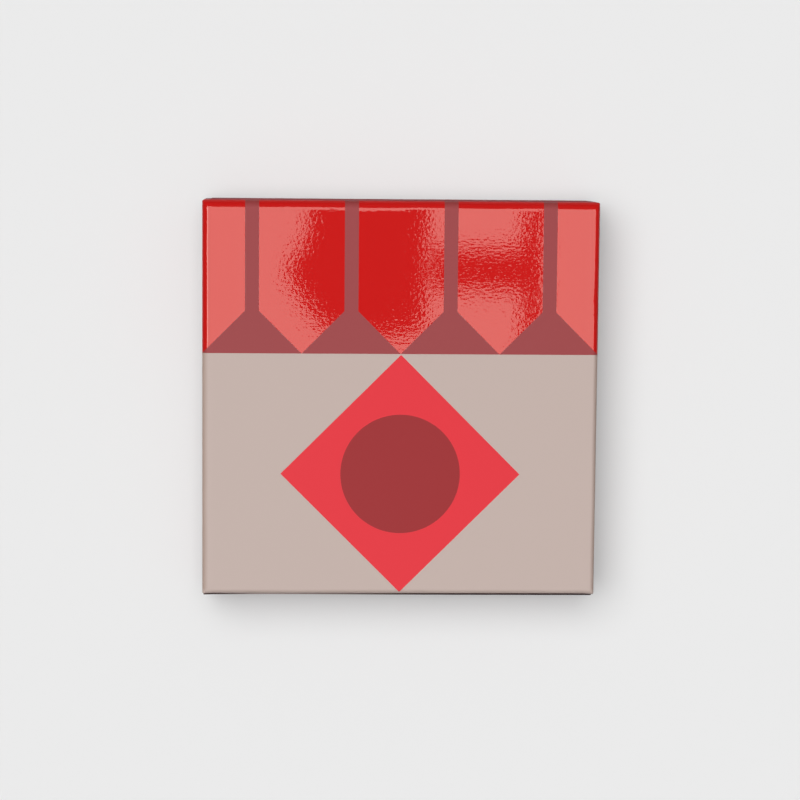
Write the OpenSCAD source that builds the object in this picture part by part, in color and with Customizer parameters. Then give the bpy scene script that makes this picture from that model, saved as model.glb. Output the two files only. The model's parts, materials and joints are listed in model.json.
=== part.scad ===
// Folding ludo case, closed. Two shallow card trays are hinged along their backs
// by a glued strip. Folded open, they lie level and their half boards make one
// square ludo board; the wells at the outer ends hold the pawns, dice and rules.
// A flap with magnets hangs on the lid's front and keeps the case shut.
// +X is right, +Y is back (the hinge), +Z is up. The origin is on the ground,
// under the middle of the closed case.

/* [Case] */
// Width of the case, left to right
case_w = 200; // [190:1:215]
// Depth of the case, from the flap's face to the hinge strip's face
case_d = 202.6; // [190:0.2:222]
// Height of one tray; the closed case is two trays high
tray_h = 20; // [18:0.5:26]
// Radius of the edges round the trays' faces
edge_r = 2.5; // [1.5:0.1:3.2]
// Radius of the trays' upright edges
corner_r = 0.9; // [0.5:0.1:1.5]
// Gap between the rims of the closed trays, and between their backs when open
rim_gap = 0.3; // [0.2:0.05:0.6]

/* [Board and paper] */
// Thickness of the greyboard in the trays
board_t = 2.2; // [1.6:0.1:3]
// Thickness of the printed wrap with its film and glue
wrap_t = 0.4; // [0.3:0.05:0.6]
// How far the wrap is turned over the rims and down inside the walls
rim_turn = 8; // [4:0.5:12]
// How far the base's wrap is turned in under the bottom
bottom_turn = 14; // [8:1:25]
// Thickness of the sheet under the base
bottom_sheet_t = 0.3; // [0.2:0.05:0.5]
// Distance from the case's sides to the edges of the sheet under the base
bottom_sheet_inset = 5; // [4:0.5:7]
// Thickness of the paper lining inside the trays and the flap
lining_t = 0.3; // [0.2:0.05:0.4]

/* [Half boards] */
// Thickness of the greyboard under the printed half boards
deck_t = 2; // [1.5:0.1:3]
// Thickness of the printed sheet
print_t = 0.3; // [0.2:0.05:0.5]
// Depth of the printed sheets below the trays' rims
deck_drop = 0.3; // [0.2:0.05:1]
// Gap between the half boards and the trays' side walls
deck_gap = 0.3; // [0.2:0.05:0.8]
// Plain border round the ludo grid
print_border = 2.2; // [1:0.1:5]
// Thickness of the dividers and ribs that carry the half boards
rib_t = 2; // [1.5:0.1:3]

/* [Pawns and dice] */
// Diameter of a pawn's foot
pawn_d = 10; // [8:0.5:11]
// Height of a pawn
pawn_h = 17; // [14:0.5:22]
// Height of the straight part of a pawn's foot
pawn_foot_h = 1.8; // [1:0.1:3]
// Diameter of a pawn's neck
neck_d = 3.4; // [2.6:0.1:4.4]
// Diameter of a pawn's head
head_d = 6.6; // [5:0.1:7.6]
// Edge of a die
die_s = 12; // [10:0.5:14]
// Diameter of a die's pips
pip_d = 2; // [1.4:0.1:2.4]
// Depth of a die's pips
pip_depth = 0.4; // [0.2:0.05:0.6]

/* [Insert] */
// Height of the foam insert
insert_h = 9; // [6:0.5:12]
// Gap between the insert and what is round it
insert_gap = 0.3; // [0.2:0.05:1]
// Gap round a pawn's foot in its hole
pawn_gap = 0.3; // [0.2:0.05:0.6]
// Distance from the insert's edges to the first holes' centres
hole_margin = 14; // [10:0.5:16]
// Distance between the holes in a group
hole_pitch = 17; // [13:0.5:18]
// Width of the compartment for the dice
compartment_w = 84; // [70:1:92]
// Depth of the compartment for the dice
compartment_d = 70; // [50:1:74]

/* [Rules] */
// Width of the folded rule sheet
rules_w = 84; // [60:1:120]
// Distance from the well's front and back to the sheet's edges
rules_margin = 6.7; // [3:0.1:15]
// Thickness of the folded rule sheet
rules_t = 0.8; // [0.4:0.1:1.5]
// Gap round the sheet in its pocket
rules_gap = 0.4; // [0.2:0.1:1]
// Depth of the sheet's part that is in the pocket
pocket_d = 46; // [30:1:60]
// Width of the pocket's tabs that are glued to the lid
pocket_tab = 6; // [3:0.5:12]
// Thickness of the pocket's card
pocket_t = 0.4; // [0.3:0.05:0.8]

/* [Hinge strip] */
// Thickness of the hinge strip
strip_t = 0.4; // [0.3:0.05:0.6]
// Width of the hinge strip over both trays
strip_w = 22; // [14:1:26]
// Distance from the case's sides to the ends of the strip
strip_inset = 4; // [3.5:0.5:10]

/* [Flap] */
// Thickness of the greyboard in the flap
flap_board_t = 1.2; // [1.2:0.1:1.8]
// Distance from the case's sides to the flap's ends
flap_inset = 0.2; // [0.2:0.1:3]
// Distance from the lid's rounded edge down to the flap's top
flap_drop = 8; // [0.6:0.1:14]
// Height of the flap's lower edge above the ground
flap_foot = 1.5; // [1:0.1:4]
// Gap between the closed flap and the leaf that it hangs on
flap_clear = 0.3; // [0.2:0.05:0.6]
// Thickness of the leaf that the flap hangs on
leaf_t = 0.3; // [0.2:0.05:0.5]
// Least distance from the leaf's edges to the lid's rounded edges
leaf_margin = 0.4; // [0.2:0.1:0.6]
// How far that leaf reaches up over the flap's top
leaf_rise = 5; // [2:0.5:10]
// How far that leaf reaches down behind the flap
leaf_lap = 2; // [1:0.5:10]
// Diameter of the magnets in the flap
magnet_d = 8; // [6:0.5:10]
// Thickness of the magnets
magnet_t = 1; // [0.6:0.1:1.2]
// Gap round the magnets and the catch plates in their holes
magnet_gap = 0.1; // [0.05:0.05:0.3]
// Diameter of the steel catch plates in the base
plate_d = 12; // [8:0.5:13]
// Thickness of the catch plates
plate_t = 0.8; // [0.4:0.1:1.2]
// Height of the magnets and plates above the ground
magnet_z = 10; // [9:0.5:10.5]
// Distance of the magnets from the middle of the case
magnet_x = 62; // [30:1:80]

/* [Hidden] */
COLOURS = ["red", "yellow", "green", "blue"];
PAWNS_EACH = 4;
PAWNS = [for (c = COLOURS, i = [1:PAWNS_EACH]) str("pawn_", c, "_", i)];

MAROON = [0.34, 0.07, 0.09];
PRINT_RED = [0.70, 0.08, 0.09];
LINING_GREY = [0.86, 0.84, 0.80];
GREYBOARD = [0.62, 0.58, 0.52];
FOAM = [0.16, 0.15, 0.16];
STEEL = [0.72, 0.73, 0.75];
CREAM = [0.93, 0.90, 0.82];
PAWN_PAINT = [[0.75, 0.06, 0.06], [0.93, 0.72, 0.06], [0.05, 0.42, 0.14], [0.06, 0.18, 0.60]];

EPS = 0.01;
CUT = 5;          // how far a cut runs past the face that it opens
MIN_R = 0.1;      // least radius of a corner
ARC_STEPS = 6;    // chords in a rounded edge
ROUND_FN = 48;

case_h = 2 * tray_h;

// the trays' outside: the flap is in front of it and the strip behind it
flap_t = wrap_t + flap_board_t + lining_t;
front_y = -case_d / 2 + flap_t + flap_clear + leaf_t;
back_y = case_d / 2 - strip_t;
hinge_y = case_d / 2 + rim_gap / 2;

// the trays' inside
skin = wrap_t + board_t;
in_x = case_w / 2 - skin;
in_front = front_y + skin;
in_back = back_y - skin;
lining_in = max(wrap_t, lining_t);
rim_z = tray_h - rim_gap / 2;
turn_z = rim_z - rim_turn;

// the half boards: fifteen squares across the case, seven and a half to the hinge
SQUARES = 15;
deck_top = rim_z - deck_drop;
deck_z = deck_top - print_t - deck_t;
deck_x = in_x - lining_in - deck_gap;
deck_back = back_y - wrap_t;
cell = 2 * (deck_x - print_border) / SQUARES;
deck_front = hinge_y - cell * SQUARES / 2 - print_border;

// the base's wrap stands on the bottom sheet; the lid has no such sheet
base_face = bottom_sheet_t;
lid_face = 0;
function floor_z(face) = face + skin + lining_t;

// the wells in front of the half boards
well_front = in_front + lining_in + insert_gap;
well_back = deck_front - insert_gap;
well_y = (well_front + well_back) / 2;
hole_d = pawn_d + 2 * pawn_gap;
pawn_z = floor_z(base_face);

function group_x(side, i) = side * (deck_x - hole_margin - i * hole_pitch);
function group_y(side, j) =
    side < 0 ? well_front + hole_margin + j * hole_pitch : well_back - hole_margin - j * hole_pitch;
GROUP_SIDES = [[-1, -1], [1, -1], [1, 1], [-1, 1]];
function pawn_place(group, k) =
    [group_x(GROUP_SIDES[group][0], k % 2), group_y(GROUP_SIDES[group][1], floor(k / 2))];

// the dice lie at the compartment's left
DIE_TURNS = [14, -27];
die_x = -compartment_w / 2 + die_s;
die_step_y = 1.8 * die_s;

// the rule sheet and the closed end of its pocket
rules_front = well_front + rules_margin;
rules_back = well_back - rules_margin;

// the flap
flap_x = case_w / 2 - flap_inset;
flap_in = front_y - leaf_t - flap_clear;
flap_out = flap_in - flap_t;
flap_top = case_h - edge_r - flap_drop;
flap_axis_y = flap_in + flap_clear / 2;
leaf_x = case_w / 2 - edge_r - leaf_margin;
leaf_top = min(flap_top + leaf_rise, case_h - edge_r - leaf_margin);

echo(hinge_axis_mm = [0, hinge_y, tray_h], flap_axis_mm = [0, flap_axis_y, flap_top]);
echo(cell_mm = cell, well_y_mm = [well_front, well_back], deck_front_mm = deck_front);

// a block between two corners
module block(low, high) {
    translate(low) cube(high - low);
}

// turns a base piece over into the lid
module in_lid() {
    translate([0, 0, case_h]) mirror([0, 0, 1]) children();
}

// a quarter circle about a centre, from an angle on
function quarter(centre, r, start) =
    [for (i = [0:ARC_STEPS]) let (a = start + 90 * i / ARC_STEPS) centre + r * [cos(a), sin(a)]];

// an upright section with its lower corners rounded
module section(low, high, r) {
    polygon(concat([high, [low[0], high[1]]], quarter([low[0] + r, low[1] + r], r, 180),
                   quarter([high[0] - r, low[1] + r], r, 270)));
}

// a rectangle with rounded corners
module plan(low, high, r) {
    polygon(concat(quarter(low + [r, r], r, 180), quarter([high[0] - r, low[1] + r], r, 270),
                   quarter(high - [r, r], r, 0), quarter([low[0] + r, high[1] - r], r, 90)));
}

// the trays' outer form, drawn in by an inset, from its face up to a height; the
// rounded edges round its face meet in mitres at the corners
module tray_form(inset, face_z, top_z) {
    low = [-case_w / 2 + inset, front_y + inset];
    high = [case_w / 2 - inset, back_y - inset];
    intersection() {
        translate([0, high[1], 0]) rotate([90, 0, 0]) linear_extrude(high[1] - low[1])
            section([low[0], face_z], [high[0], top_z], edge_r - inset);
        translate([low[0], 0, 0]) rotate([90, 0, 90]) linear_extrude(high[0] - low[0])
            section([low[1], face_z], [high[1], top_z], edge_r - inset);
        translate([0, 0, face_z]) linear_extrude(top_z - face_z)
            plan(low, high, max(corner_r - inset, MIN_R));
    }
}

// the room over the back wall that the half board runs into
module deck_slot() {
    block([-in_x, in_back - EPS, deck_z], [in_x, deck_back, tray_h + CUT]);
}

module tray_board(face) {
    difference() {
        tray_form(wrap_t, face + wrap_t, rim_z - wrap_t);
        block([-in_x, in_front, face + skin], [in_x, in_back, tray_h + CUT]);
        deck_slot();
    }
}

// the outer paper, over the rims of three walls and down inside them
module tray_wrap(face) {
    turn_x = in_x - wrap_t;
    turn_y = in_front + wrap_t;
    difference() {
        union() {
            difference() {
                tray_form(0, face, rim_z);
                tray_form(wrap_t, face + wrap_t, rim_z - wrap_t);
            }
            block([-in_x, in_front, turn_z], [in_x, in_back, rim_z]);
        }
        block([-turn_x, turn_y, turn_z - CUT], [turn_x, in_back + EPS, tray_h + CUT]);
        deck_slot();
        block([-in_x, deck_back - EPS, deck_top], [in_x, back_y + CUT, tray_h + CUT]);
    }
}

module tray_lining(face) {
    low = [-in_x, in_front, face + skin];
    high = [in_x, in_back, turn_z];
    difference() {
        block(low, high);
        block(low + lining_t * [1, 1, 1], [in_x - lining_t, in_back - lining_t, turn_z + CUT]);
    }
}

module tray_divider(face) {
    block([-deck_x, deck_front, floor_z(face)], [deck_x, deck_front + rib_t, deck_z]);
}

module tray_ribs(face) {
    rib_back = in_back - lining_in - deck_gap;
    for (x = [-deck_x, -rib_t / 2, deck_x - rib_t])
        block([x, deck_front + rib_t, floor_z(face)], [x + rib_t, rib_back, deck_z]);
}

module tray_deck() {
    block([-deck_x, deck_front, deck_z], [deck_x, deck_back, deck_z + deck_t]);
}

module tray_print() {
    block([-deck_x, deck_front, deck_z + deck_t], [deck_x, deck_back, deck_top]);
}

module catch_plate(side, gap) {
    y = front_y + wrap_t;
    translate([side * magnet_x, y - gap, magnet_z])
        rotate([-90, 0, 0]) cylinder(d = plate_d + 2 * gap, h = plate_t + 2 * gap, $fn = ROUND_FN);
}

module magnet(side, gap) {
    y = flap_in - lining_t - magnet_t;
    translate([side * magnet_x, y, magnet_z])
        rotate([-90, 0, 0]) cylinder(d = magnet_d + 2 * gap, h = magnet_t, $fn = ROUND_FN);
}

// half of the glued strip: the lid's half is the base's, turned over
module spine_strip() {
    x = case_w / 2 - strip_inset;
    block([-x, back_y, tray_h - strip_w / 2], [x, back_y + strip_t, deck_top]);
}

module base_board() {
    color(GREYBOARD) difference() {
        tray_board(base_face);
        for (side = [-1, 1]) catch_plate(side, magnet_gap);
    }
}

module base_wrap() {
    x = case_w / 2 - bottom_turn;
    color(MAROON) difference() {
        tray_wrap(base_face);
        block([-x, front_y + bottom_turn, -CUT], [x, back_y - bottom_turn, base_face + wrap_t + EPS]);
    }
}

module base_bottom_sheet() {
    x = case_w / 2 - bottom_sheet_inset;
    color(MAROON)
        block([-x, front_y + bottom_sheet_inset, 0], [x, back_y - bottom_sheet_inset, bottom_sheet_t]);
}

module base_lining() {
    color(LINING_GREY) tray_lining(base_face);
}

module base_divider() {
    color(LINING_GREY) tray_divider(base_face);
}

module base_ribs() {
    color(GREYBOARD) tray_ribs(base_face);
}

module base_deck() {
    color(GREYBOARD) tray_deck();
}

module base_print() {
    color(CREAM) tray_print();
}

module pawn_insert() {
    top = pawn_z + insert_h;
    half = [compartment_w, compartment_d] / 2;
    color(FOAM) difference() {
        block([-deck_x, well_front, pawn_z], [deck_x, well_back, top]);
        block([-half[0], well_y - half[1], pawn_z - CUT], [half[0], well_y + half[1], top + CUT]);
        for (group = [0:3], k = [0:PAWNS_EACH - 1])
            translate(concat(pawn_place(group, k), [pawn_z - CUT]))
                cylinder(d = hole_d, h = insert_h + 2 * CUT, $fn = ROUND_FN);
    }
}

// foot, cone and ball
module pawn(group, k) {
    head_z = pawn_h - head_d / 2;
    color(PAWN_PAINT[group]) translate(concat(pawn_place(group, k), [pawn_z])) {
        cylinder(d = pawn_d, h = pawn_foot_h, $fn = ROUND_FN);
        translate([0, 0, pawn_foot_h])
            cylinder(d1 = pawn_d - 1, d2 = neck_d, h = head_z - pawn_foot_h, $fn = ROUND_FN);
        translate([0, 0, head_z]) sphere(d = head_d, $fn = ROUND_FN);
    }
}

// where the pips sit on a face of the die, in steps from its middle
function pips(n) =
    n == 1 ? [[0, 0]] :
    n == 2 ? [[-1, -1], [1, 1]] :
    n == 3 ? concat(pips(1), pips(2)) :
    n == 4 ? [for (i = [-1, 1], j = [-1, 1]) [i, j]] :
    n == 5 ? concat(pips(1), pips(4)) :
    [for (i = [-1, 1], j = [-1, 0, 1]) [i, j]];

// turns the +Z face to each face in turn: one and six, two and five, three and
// four lie opposite each other
FACE_TURNS = [[0, 0, 0], [90, 0, 0], [0, 90, 0], [0, -90, 0], [-90, 0, 0], [180, 0, 0]];

module die(index) {
    step = die_s / 4;
    y = well_y + (index == 0 ? -1 : 1) * die_step_y / 2;
    color(CREAM) translate([die_x, y, pawn_z + die_s / 2]) rotate([0, 0, DIE_TURNS[index]])
        difference() {
            intersection() {
                cube(die_s, center = true);
                sphere(d = 1.45 * die_s, $fn = ROUND_FN);
            }
            for (n = [1:6], p = pips(n))
                rotate(FACE_TURNS[n - 1]) translate([p[0] * step, p[1] * step, die_s / 2 - pip_depth])
                    cylinder(d = pip_d, h = CUT, $fn = 16);
        }
}

module lid_board() {
    color(GREYBOARD) in_lid() tray_board(lid_face);
}

module lid_wrap() {
    color(PRINT_RED) in_lid() tray_wrap(lid_face);
}

module lid_lining() {
    color(LINING_GREY) in_lid() tray_lining(lid_face);
}

module lid_divider() {
    color(LINING_GREY) in_lid() tray_divider(lid_face);
}

module lid_ribs() {
    color(GREYBOARD) in_lid() tray_ribs(lid_face);
}

module lid_deck() {
    color(GREYBOARD) in_lid() tray_deck();
}

module lid_print() {
    color(CREAM) in_lid() tray_print();
}

module rules_sheet() {
    z = floor_z(lid_face);
    color(CREAM) in_lid()
        block([-rules_w / 2, rules_front, z], [rules_w / 2, rules_back, z + rules_t]);
}

// a pocket with its mouth towards the hinge, glued down by tabs on three sides
module rules_pocket() {
    z = floor_z(lid_face);
    x = rules_w / 2 + rules_gap;
    front = rules_front - rules_gap;
    mouth = rules_front + pocket_d;
    top = z + rules_t + pocket_t;
    color(MAROON) in_lid() difference() {
        union() {
            block([-x - pocket_t, front - pocket_t, z], [x + pocket_t, mouth, top]);
            block([-x - pocket_tab, front - pocket_tab, z], [x + pocket_tab, mouth, z + pocket_t]);
        }
        block([-x, front, z - CUT], [x, mouth + CUT, z + rules_t]);
    }
}

module flap_hinge_leaf() {
    color(MAROON) block([-leaf_x, front_y - leaf_t, flap_top - leaf_lap], [leaf_x, front_y, leaf_top]);
}

module flap_board() {
    color(GREYBOARD) difference() {
        block([-flap_x + wrap_t, flap_out + wrap_t, flap_foot + wrap_t],
              [flap_x - wrap_t, flap_in - lining_t, flap_top - wrap_t]);
        for (side = [-1, 1]) magnet_hole(side);
    }
}

module magnet_hole(side) {
    translate([side * magnet_x, flap_out, magnet_z])
        rotate([-90, 0, 0]) cylinder(d = magnet_d + 2 * magnet_gap, h = flap_t, $fn = ROUND_FN);
}

module flap_wrap() {
    color(MAROON) difference() {
        block([-flap_x, flap_out, flap_foot], [flap_x, flap_in - lining_t, flap_top]);
        block([-flap_x + wrap_t, flap_out + wrap_t, flap_foot + wrap_t],
              [flap_x - wrap_t, flap_in - lining_t + CUT, flap_top - wrap_t]);
    }
}

module flap_lining() {
    color(LINING_GREY) block([-flap_x, flap_in - lining_t, flap_foot], [flap_x, flap_in, flap_top]);
}

base_board();
base_wrap();
base_bottom_sheet();
base_lining();
base_divider();
base_ribs();
base_deck();
base_print();
pawn_insert();
color(STEEL) catch_plate(-1, 0);  // catch_plate_left
color(STEEL) catch_plate(1, 0);  // catch_plate_right
color(MAROON) spine_strip();  // spine_strip_base
for (group = [0:3], k = [0:PAWNS_EACH - 1])
    pawn(group, k);
die(0);  // die_1
die(1);  // die_2
lid_board();
lid_wrap();
lid_lining();
lid_divider();
lid_ribs();
lid_deck();
lid_print();
rules_pocket();
rules_sheet();
color(MAROON) in_lid() spine_strip();  // spine_strip_lid
flap_hinge_leaf();
flap_board();
flap_wrap();
flap_lining();
color(STEEL) magnet(-1, 0);  // flap_magnet_left
color(STEEL) magnet(1, 0);  // flap_magnet_right
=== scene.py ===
"""The looks of the folding ludo case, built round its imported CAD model."""

import json
import math

import bmesh
import bpy
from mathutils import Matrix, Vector, noise


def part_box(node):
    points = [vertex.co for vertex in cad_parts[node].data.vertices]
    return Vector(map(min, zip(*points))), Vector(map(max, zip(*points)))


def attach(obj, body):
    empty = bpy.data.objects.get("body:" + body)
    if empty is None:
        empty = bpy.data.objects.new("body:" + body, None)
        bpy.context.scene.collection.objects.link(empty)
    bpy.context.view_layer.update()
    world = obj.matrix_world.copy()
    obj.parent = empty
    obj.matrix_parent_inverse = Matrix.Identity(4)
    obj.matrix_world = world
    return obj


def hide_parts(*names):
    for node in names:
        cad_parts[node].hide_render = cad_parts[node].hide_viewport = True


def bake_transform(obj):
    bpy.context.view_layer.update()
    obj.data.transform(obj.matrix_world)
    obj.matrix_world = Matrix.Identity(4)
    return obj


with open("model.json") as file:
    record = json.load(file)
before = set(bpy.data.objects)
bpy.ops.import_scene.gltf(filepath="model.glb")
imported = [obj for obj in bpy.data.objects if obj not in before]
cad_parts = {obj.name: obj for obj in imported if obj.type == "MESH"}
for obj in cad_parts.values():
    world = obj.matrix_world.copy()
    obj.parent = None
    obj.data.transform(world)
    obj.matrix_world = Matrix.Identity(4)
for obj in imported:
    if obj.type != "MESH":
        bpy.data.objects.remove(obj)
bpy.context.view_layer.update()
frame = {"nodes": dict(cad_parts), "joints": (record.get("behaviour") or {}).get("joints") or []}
NODES = frame["nodes"]
MM = 0.001

# ---------------------------------------------------------------- sizes from the frame

LID_LOW, LID_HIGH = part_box("lid_wrap")
BASE_LOW, BASE_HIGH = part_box("base_wrap")
PRINT_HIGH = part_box("base_print")[1]
FLAP_LOW, FLAP_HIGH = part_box("flap_wrap")
FLAP_LINING_LOW, FLAP_LINING_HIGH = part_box("flap_lining")
LEAF_LOW, LEAF_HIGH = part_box("flap_hinge_leaf")
STRIP_LOW, STRIP_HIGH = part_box("spine_strip_base")
JOINTS = {j["name"]: j for j in frame["joints"]}
HINGE_Y = JOINTS["lid_fold"]["pos_m"][1]
TRAY_H = JOINTS["lid_fold"]["pos_m"][2]
FOLD_Y, FOLD_Z = JOINTS["flap_fold"]["pos_m"][1:]

CASE_X = LID_HIGH.x
FRONT_Y = LID_LOW.y
BACK_Y = LID_HIGH.y
TOP_Z = LID_HIGH.z
WRAP_T = TOP_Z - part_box("lid_board")[1].z
BOARD_T = 2.2 * MM
RIM_TURN = 8 * MM                # how far the wraps turn in behind the walls
BOTTOM_TURN = 14 * MM            # and under the base
EDGE_R = 2.5 * MM                # of the edges round the lid's face and the base's bottom
CORNER_R = 0.9 * MM              # of the upright edges
# depth of the rounded edges on each side, in radii
FRONT_ROUND, BACK_ROUND, LEFT_ROUND, RIGHT_ROUND = 0.95, 1.48, 1.25, 0.95
# along the hinge the wraps stay level with the half boards' prints
BACK_RIM_Z = PRINT_HIGH.z
# the flap is dented and rubbed left of the middle, less far to the left than to the right
DENT_X = -67 * MM
DENT_LEFT, DENT_RIGHT = 19 * MM, 50 * MM
# the dice lie turned, and a ball of so many half sizes rounds their corners
DIE_TURNS = {"die_1": math.radians(14), "die_2": math.radians(-27)}
DIE_BALL = 1.40

# ---------------------------------------------------------------- the printed design

DIVIDER_Y = 24.0 * MM            # where the red band meets the beige field
BLOCK_PITCH = 50 * MM            # of the pointed blocks in the band
BLOCK_HALF = 21.5 * MM
DIAMOND_X = 0.25 * MM            # the sheet is glued on a trace off the middle
DIAMOND_Y = -37.1 * MM
DIAMOND_HALF = 60.7 * MM
CIRCLE_R = 30.3 * MM

# how strongly the film over the red blocks and the plain paper reflect
FILM_LEVEL = 0.60
PAPER_LEVEL = 0.215

# colours of the inks as they look in plain light, in linear values
INK_FOIL = (0.626, 0.0135, 0.0125)
INK_GROUND = (0.330, 0.054, 0.0575)
INK_BEIGE = (0.535, 0.428, 0.388)
INK_DIAMOND = (0.768, 0.0275, 0.0415)
INK_CIRCLE = (0.331, 0.0190, 0.0220)
FILM_TINT = (1.0, 0.85, 0.76)
# painted shade, a little warm, that multiplies the print down the lid's rounded edges
EDGE_SHADE = (0.76, 0.70, 0.66)
WHITE = (1.0, 1.0, 1.0)
MAROON = (0.125, 0.016, 0.020)
RUBBED = (0.40, 0.32, 0.29)
CLOTH = (0.27, 0.040, 0.046)
PAPER = (0.76, 0.73, 0.67)
GREYBOARD = (0.36, 0.32, 0.27)
FOAM = (0.030, 0.028, 0.030)
STEEL = (0.60, 0.61, 0.63)
IVORY = (0.82, 0.80, 0.73)
PIP = (0.012, 0.012, 0.013)
BOARD_CREAM = (0.74, 0.68, 0.56)
BOARD_LINE = (0.12, 0.020, 0.024)
GAME = {
    "red": (0.52, 0.022, 0.026),
    "yellow": (0.80, 0.46, 0.030),
    "green": (0.035, 0.24, 0.085),
    "blue": (0.025, 0.095, 0.34),
}


# ---------------------------------------------------------------- materials

FIBRE = 0.5 * MM                 # grain of printed paper


def shade(colour, factor):
    return tuple(factor * v for v in colour)


class Graph:
    """A material and short calls that add nodes to it."""

    def __init__(self, name):
        self.material = bpy.data.materials.new(name)
        self.material.use_nodes = True
        self.nodes = self.material.node_tree.nodes
        self.shader = self.nodes["Principled BSDF"]
        self.place = None

    def link(self, value, socket):
        if isinstance(value, bpy.types.NodeSocket):
            self.material.node_tree.links.new(value, socket)
        else:
            socket.default_value = value

    def set(self, name, value):
        if isinstance(value, tuple) and len(value) == 3:
            value = (*value, 1.0)
        self.link(value, self.shader.inputs[name])

    def math(self, operation, a, b=0.0, c=0.0, clamp=False):
        node = self.nodes.new("ShaderNodeMath")
        node.operation = operation
        node.use_clamp = clamp
        for value, socket in zip((a, b, c), node.inputs):
            self.link(value, socket)
        return node.outputs[0]

    def object_place(self):
        if self.place is None:
            self.place = self.nodes.new("ShaderNodeTexCoord").outputs["Object"]
        return self.place

    def xyz(self):
        node = self.nodes.new("ShaderNodeSeparateXYZ")
        self.link(self.object_place(), node.inputs[0])
        return node.outputs

    def inside(self, distance, edge=0.05 * MM):
        """1 where a signed distance in metres is below zero, with a thin soft edge."""
        return self.math("MULTIPLY_ADD", distance, -1 / edge, 0.5, clamp=True)

    def noise(self, size, stretch=(1, 1, 1), detail=2.0, roughness=0.5):
        """Noise whose spots are about size metres wide, drawn out along each axis by stretch."""
        scale = self.nodes.new("ShaderNodeMapping")
        scale.inputs["Scale"].default_value = [1 / (size * s) for s in stretch]
        self.link(self.object_place(), scale.inputs["Vector"])
        node = self.nodes.new("ShaderNodeTexNoise")
        node.inputs["Scale"].default_value = 1.0
        node.inputs["Detail"].default_value = detail
        node.inputs["Roughness"].default_value = roughness
        self.link(scale.outputs[0], node.inputs["Vector"])
        return node.outputs["Fac"]

    def length(self, *parts):
        """The root of the sum of the parts' squares."""
        squares = [self.math("POWER", part, 2.0) for part in parts]
        total = squares[0]
        for square in squares[1:]:
            total = self.math("ADD", total, square)
        return self.math("SQRT", total)

    def mix(self, factor, a, b, blend="MIX"):
        node = self.nodes.new("ShaderNodeMix")
        node.data_type = "RGBA"
        node.blend_type = blend
        self.link(factor, node.inputs["Factor"])
        for value, socket in ((a, node.inputs[6]), (b, node.inputs[7])):
            self.link((*value, 1.0) if isinstance(value, tuple) else value, socket)
        return node.outputs[2]

    def vary(self, colour, fac, amount):
        """The colour, lighter and darker by amount where fac goes from 0 to 1."""
        high = tuple(min(v, 1.0) for v in shade(colour, 1 + amount))
        return self.mix(fac, shade(colour, 1 - amount), high)

    def bump(self, height, distance, strength=1.0):
        node = self.nodes.new("ShaderNodeBump")
        node.inputs["Distance"].default_value = distance
        self.link(strength, node.inputs["Strength"])
        self.link(height, node.inputs["Height"])
        self.link(node.outputs[0], self.shader.inputs["Normal"])


def lid_print_material():
    """The lid's print: glossy red blocks on a satin maroon band, a beige field with a diamond."""
    g = Graph("lid_print")
    x, y, z = g.xyz()
    # the diamond runs on down the front wall, so its height there is counted down the wall
    down = g.math("MAXIMUM", g.math("SUBTRACT", TOP_Z - EDGE_R, z), 0.0)
    beside = g.math("ABSOLUTE", g.math("SUBTRACT", x, DIAMOND_X))
    below = g.math("ABSOLUTE", g.math("SUBTRACT", g.math("SUBTRACT", y, down), DIAMOND_Y))
    diamond = g.inside(g.math("SUBTRACT", g.math("ADD", beside, below), DIAMOND_HALF))
    radius = g.length(beside, g.math("SUBTRACT", y, DIAMOND_Y))
    circle = g.inside(g.math("SUBTRACT", radius, CIRCLE_R))
    band = g.inside(g.math("SUBTRACT", DIVIDER_Y, y))
    # distance from the nearest block's middle line, and each block's lower point
    across = g.math("PINGPONG", x, BLOCK_PITCH / 2)
    blocks = g.inside(g.math("SUBTRACT", across, BLOCK_HALF))
    points = g.inside(g.math("SUBTRACT", g.math("ADD", across, DIVIDER_Y), y))
    foil = g.math("MULTIPLY", blocks, points)
    # the film ends in the rounded edges, where shade is painted on the print, least at the front
    film_end, film_fade = TOP_Z - 0.7 * MM, 0.3 * MM
    front_end, front_fade = FRONT_Y + 2 * MM, 1.5 * MM
    shade_depth = 0.9 * MM
    film = g.math("MULTIPLY", foil, g.inside(g.math("SUBTRACT", film_end, z), film_fade))
    depth = g.math("DIVIDE", g.math("SUBTRACT", TOP_Z, z), shade_depth, clamp=True)
    front = g.inside(g.math("SUBTRACT", y, front_end), front_fade)
    shade_share = g.math("MULTIPLY_ADD", front, -0.7, 1.0)
    edge = g.math("MULTIPLY", g.math("POWER", depth, 0.5), shade_share)
    field = g.mix(circle, g.mix(diamond, INK_BEIGE, INK_DIAMOND), INK_CIRCLE)
    tone = g.mix(band, field, g.mix(foil, INK_GROUND, INK_FOIL))
    # the print times the painted shade of the rounded edges
    g.set("Base Color", g.mix(1.0, tone, g.mix(edge, WHITE, EDGE_SHADE), blend="MULTIPLY"))
    grain = g.math("MULTIPLY_ADD", g.noise(FIBRE, detail=3.0), 0.10, 0.55)
    g.set("Roughness", g.math("MAXIMUM", g.math("MULTIPLY_ADD", film, -0.9, grain), 0.02))
    gloss = g.math("MULTIPLY_ADD", film, FILM_LEVEL - PAPER_LEVEL, PAPER_LEVEL)
    g.set("Specular IOR Level", gloss)
    g.set("Specular Tint", g.mix(film, WHITE, FILM_TINT))
    # the film over the foil is drawn in fine crinkles
    crinkle = g.noise(1.4 * MM, detail=1.0)
    ripple = g.noise(1.05 * MM, stretch=(3.2, 1, 1), detail=1.0)
    g.bump(g.math("MULTIPLY_ADD", ripple, 0.6, crinkle), 0.0125 * MM, strength=film)
    return g.material


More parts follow.
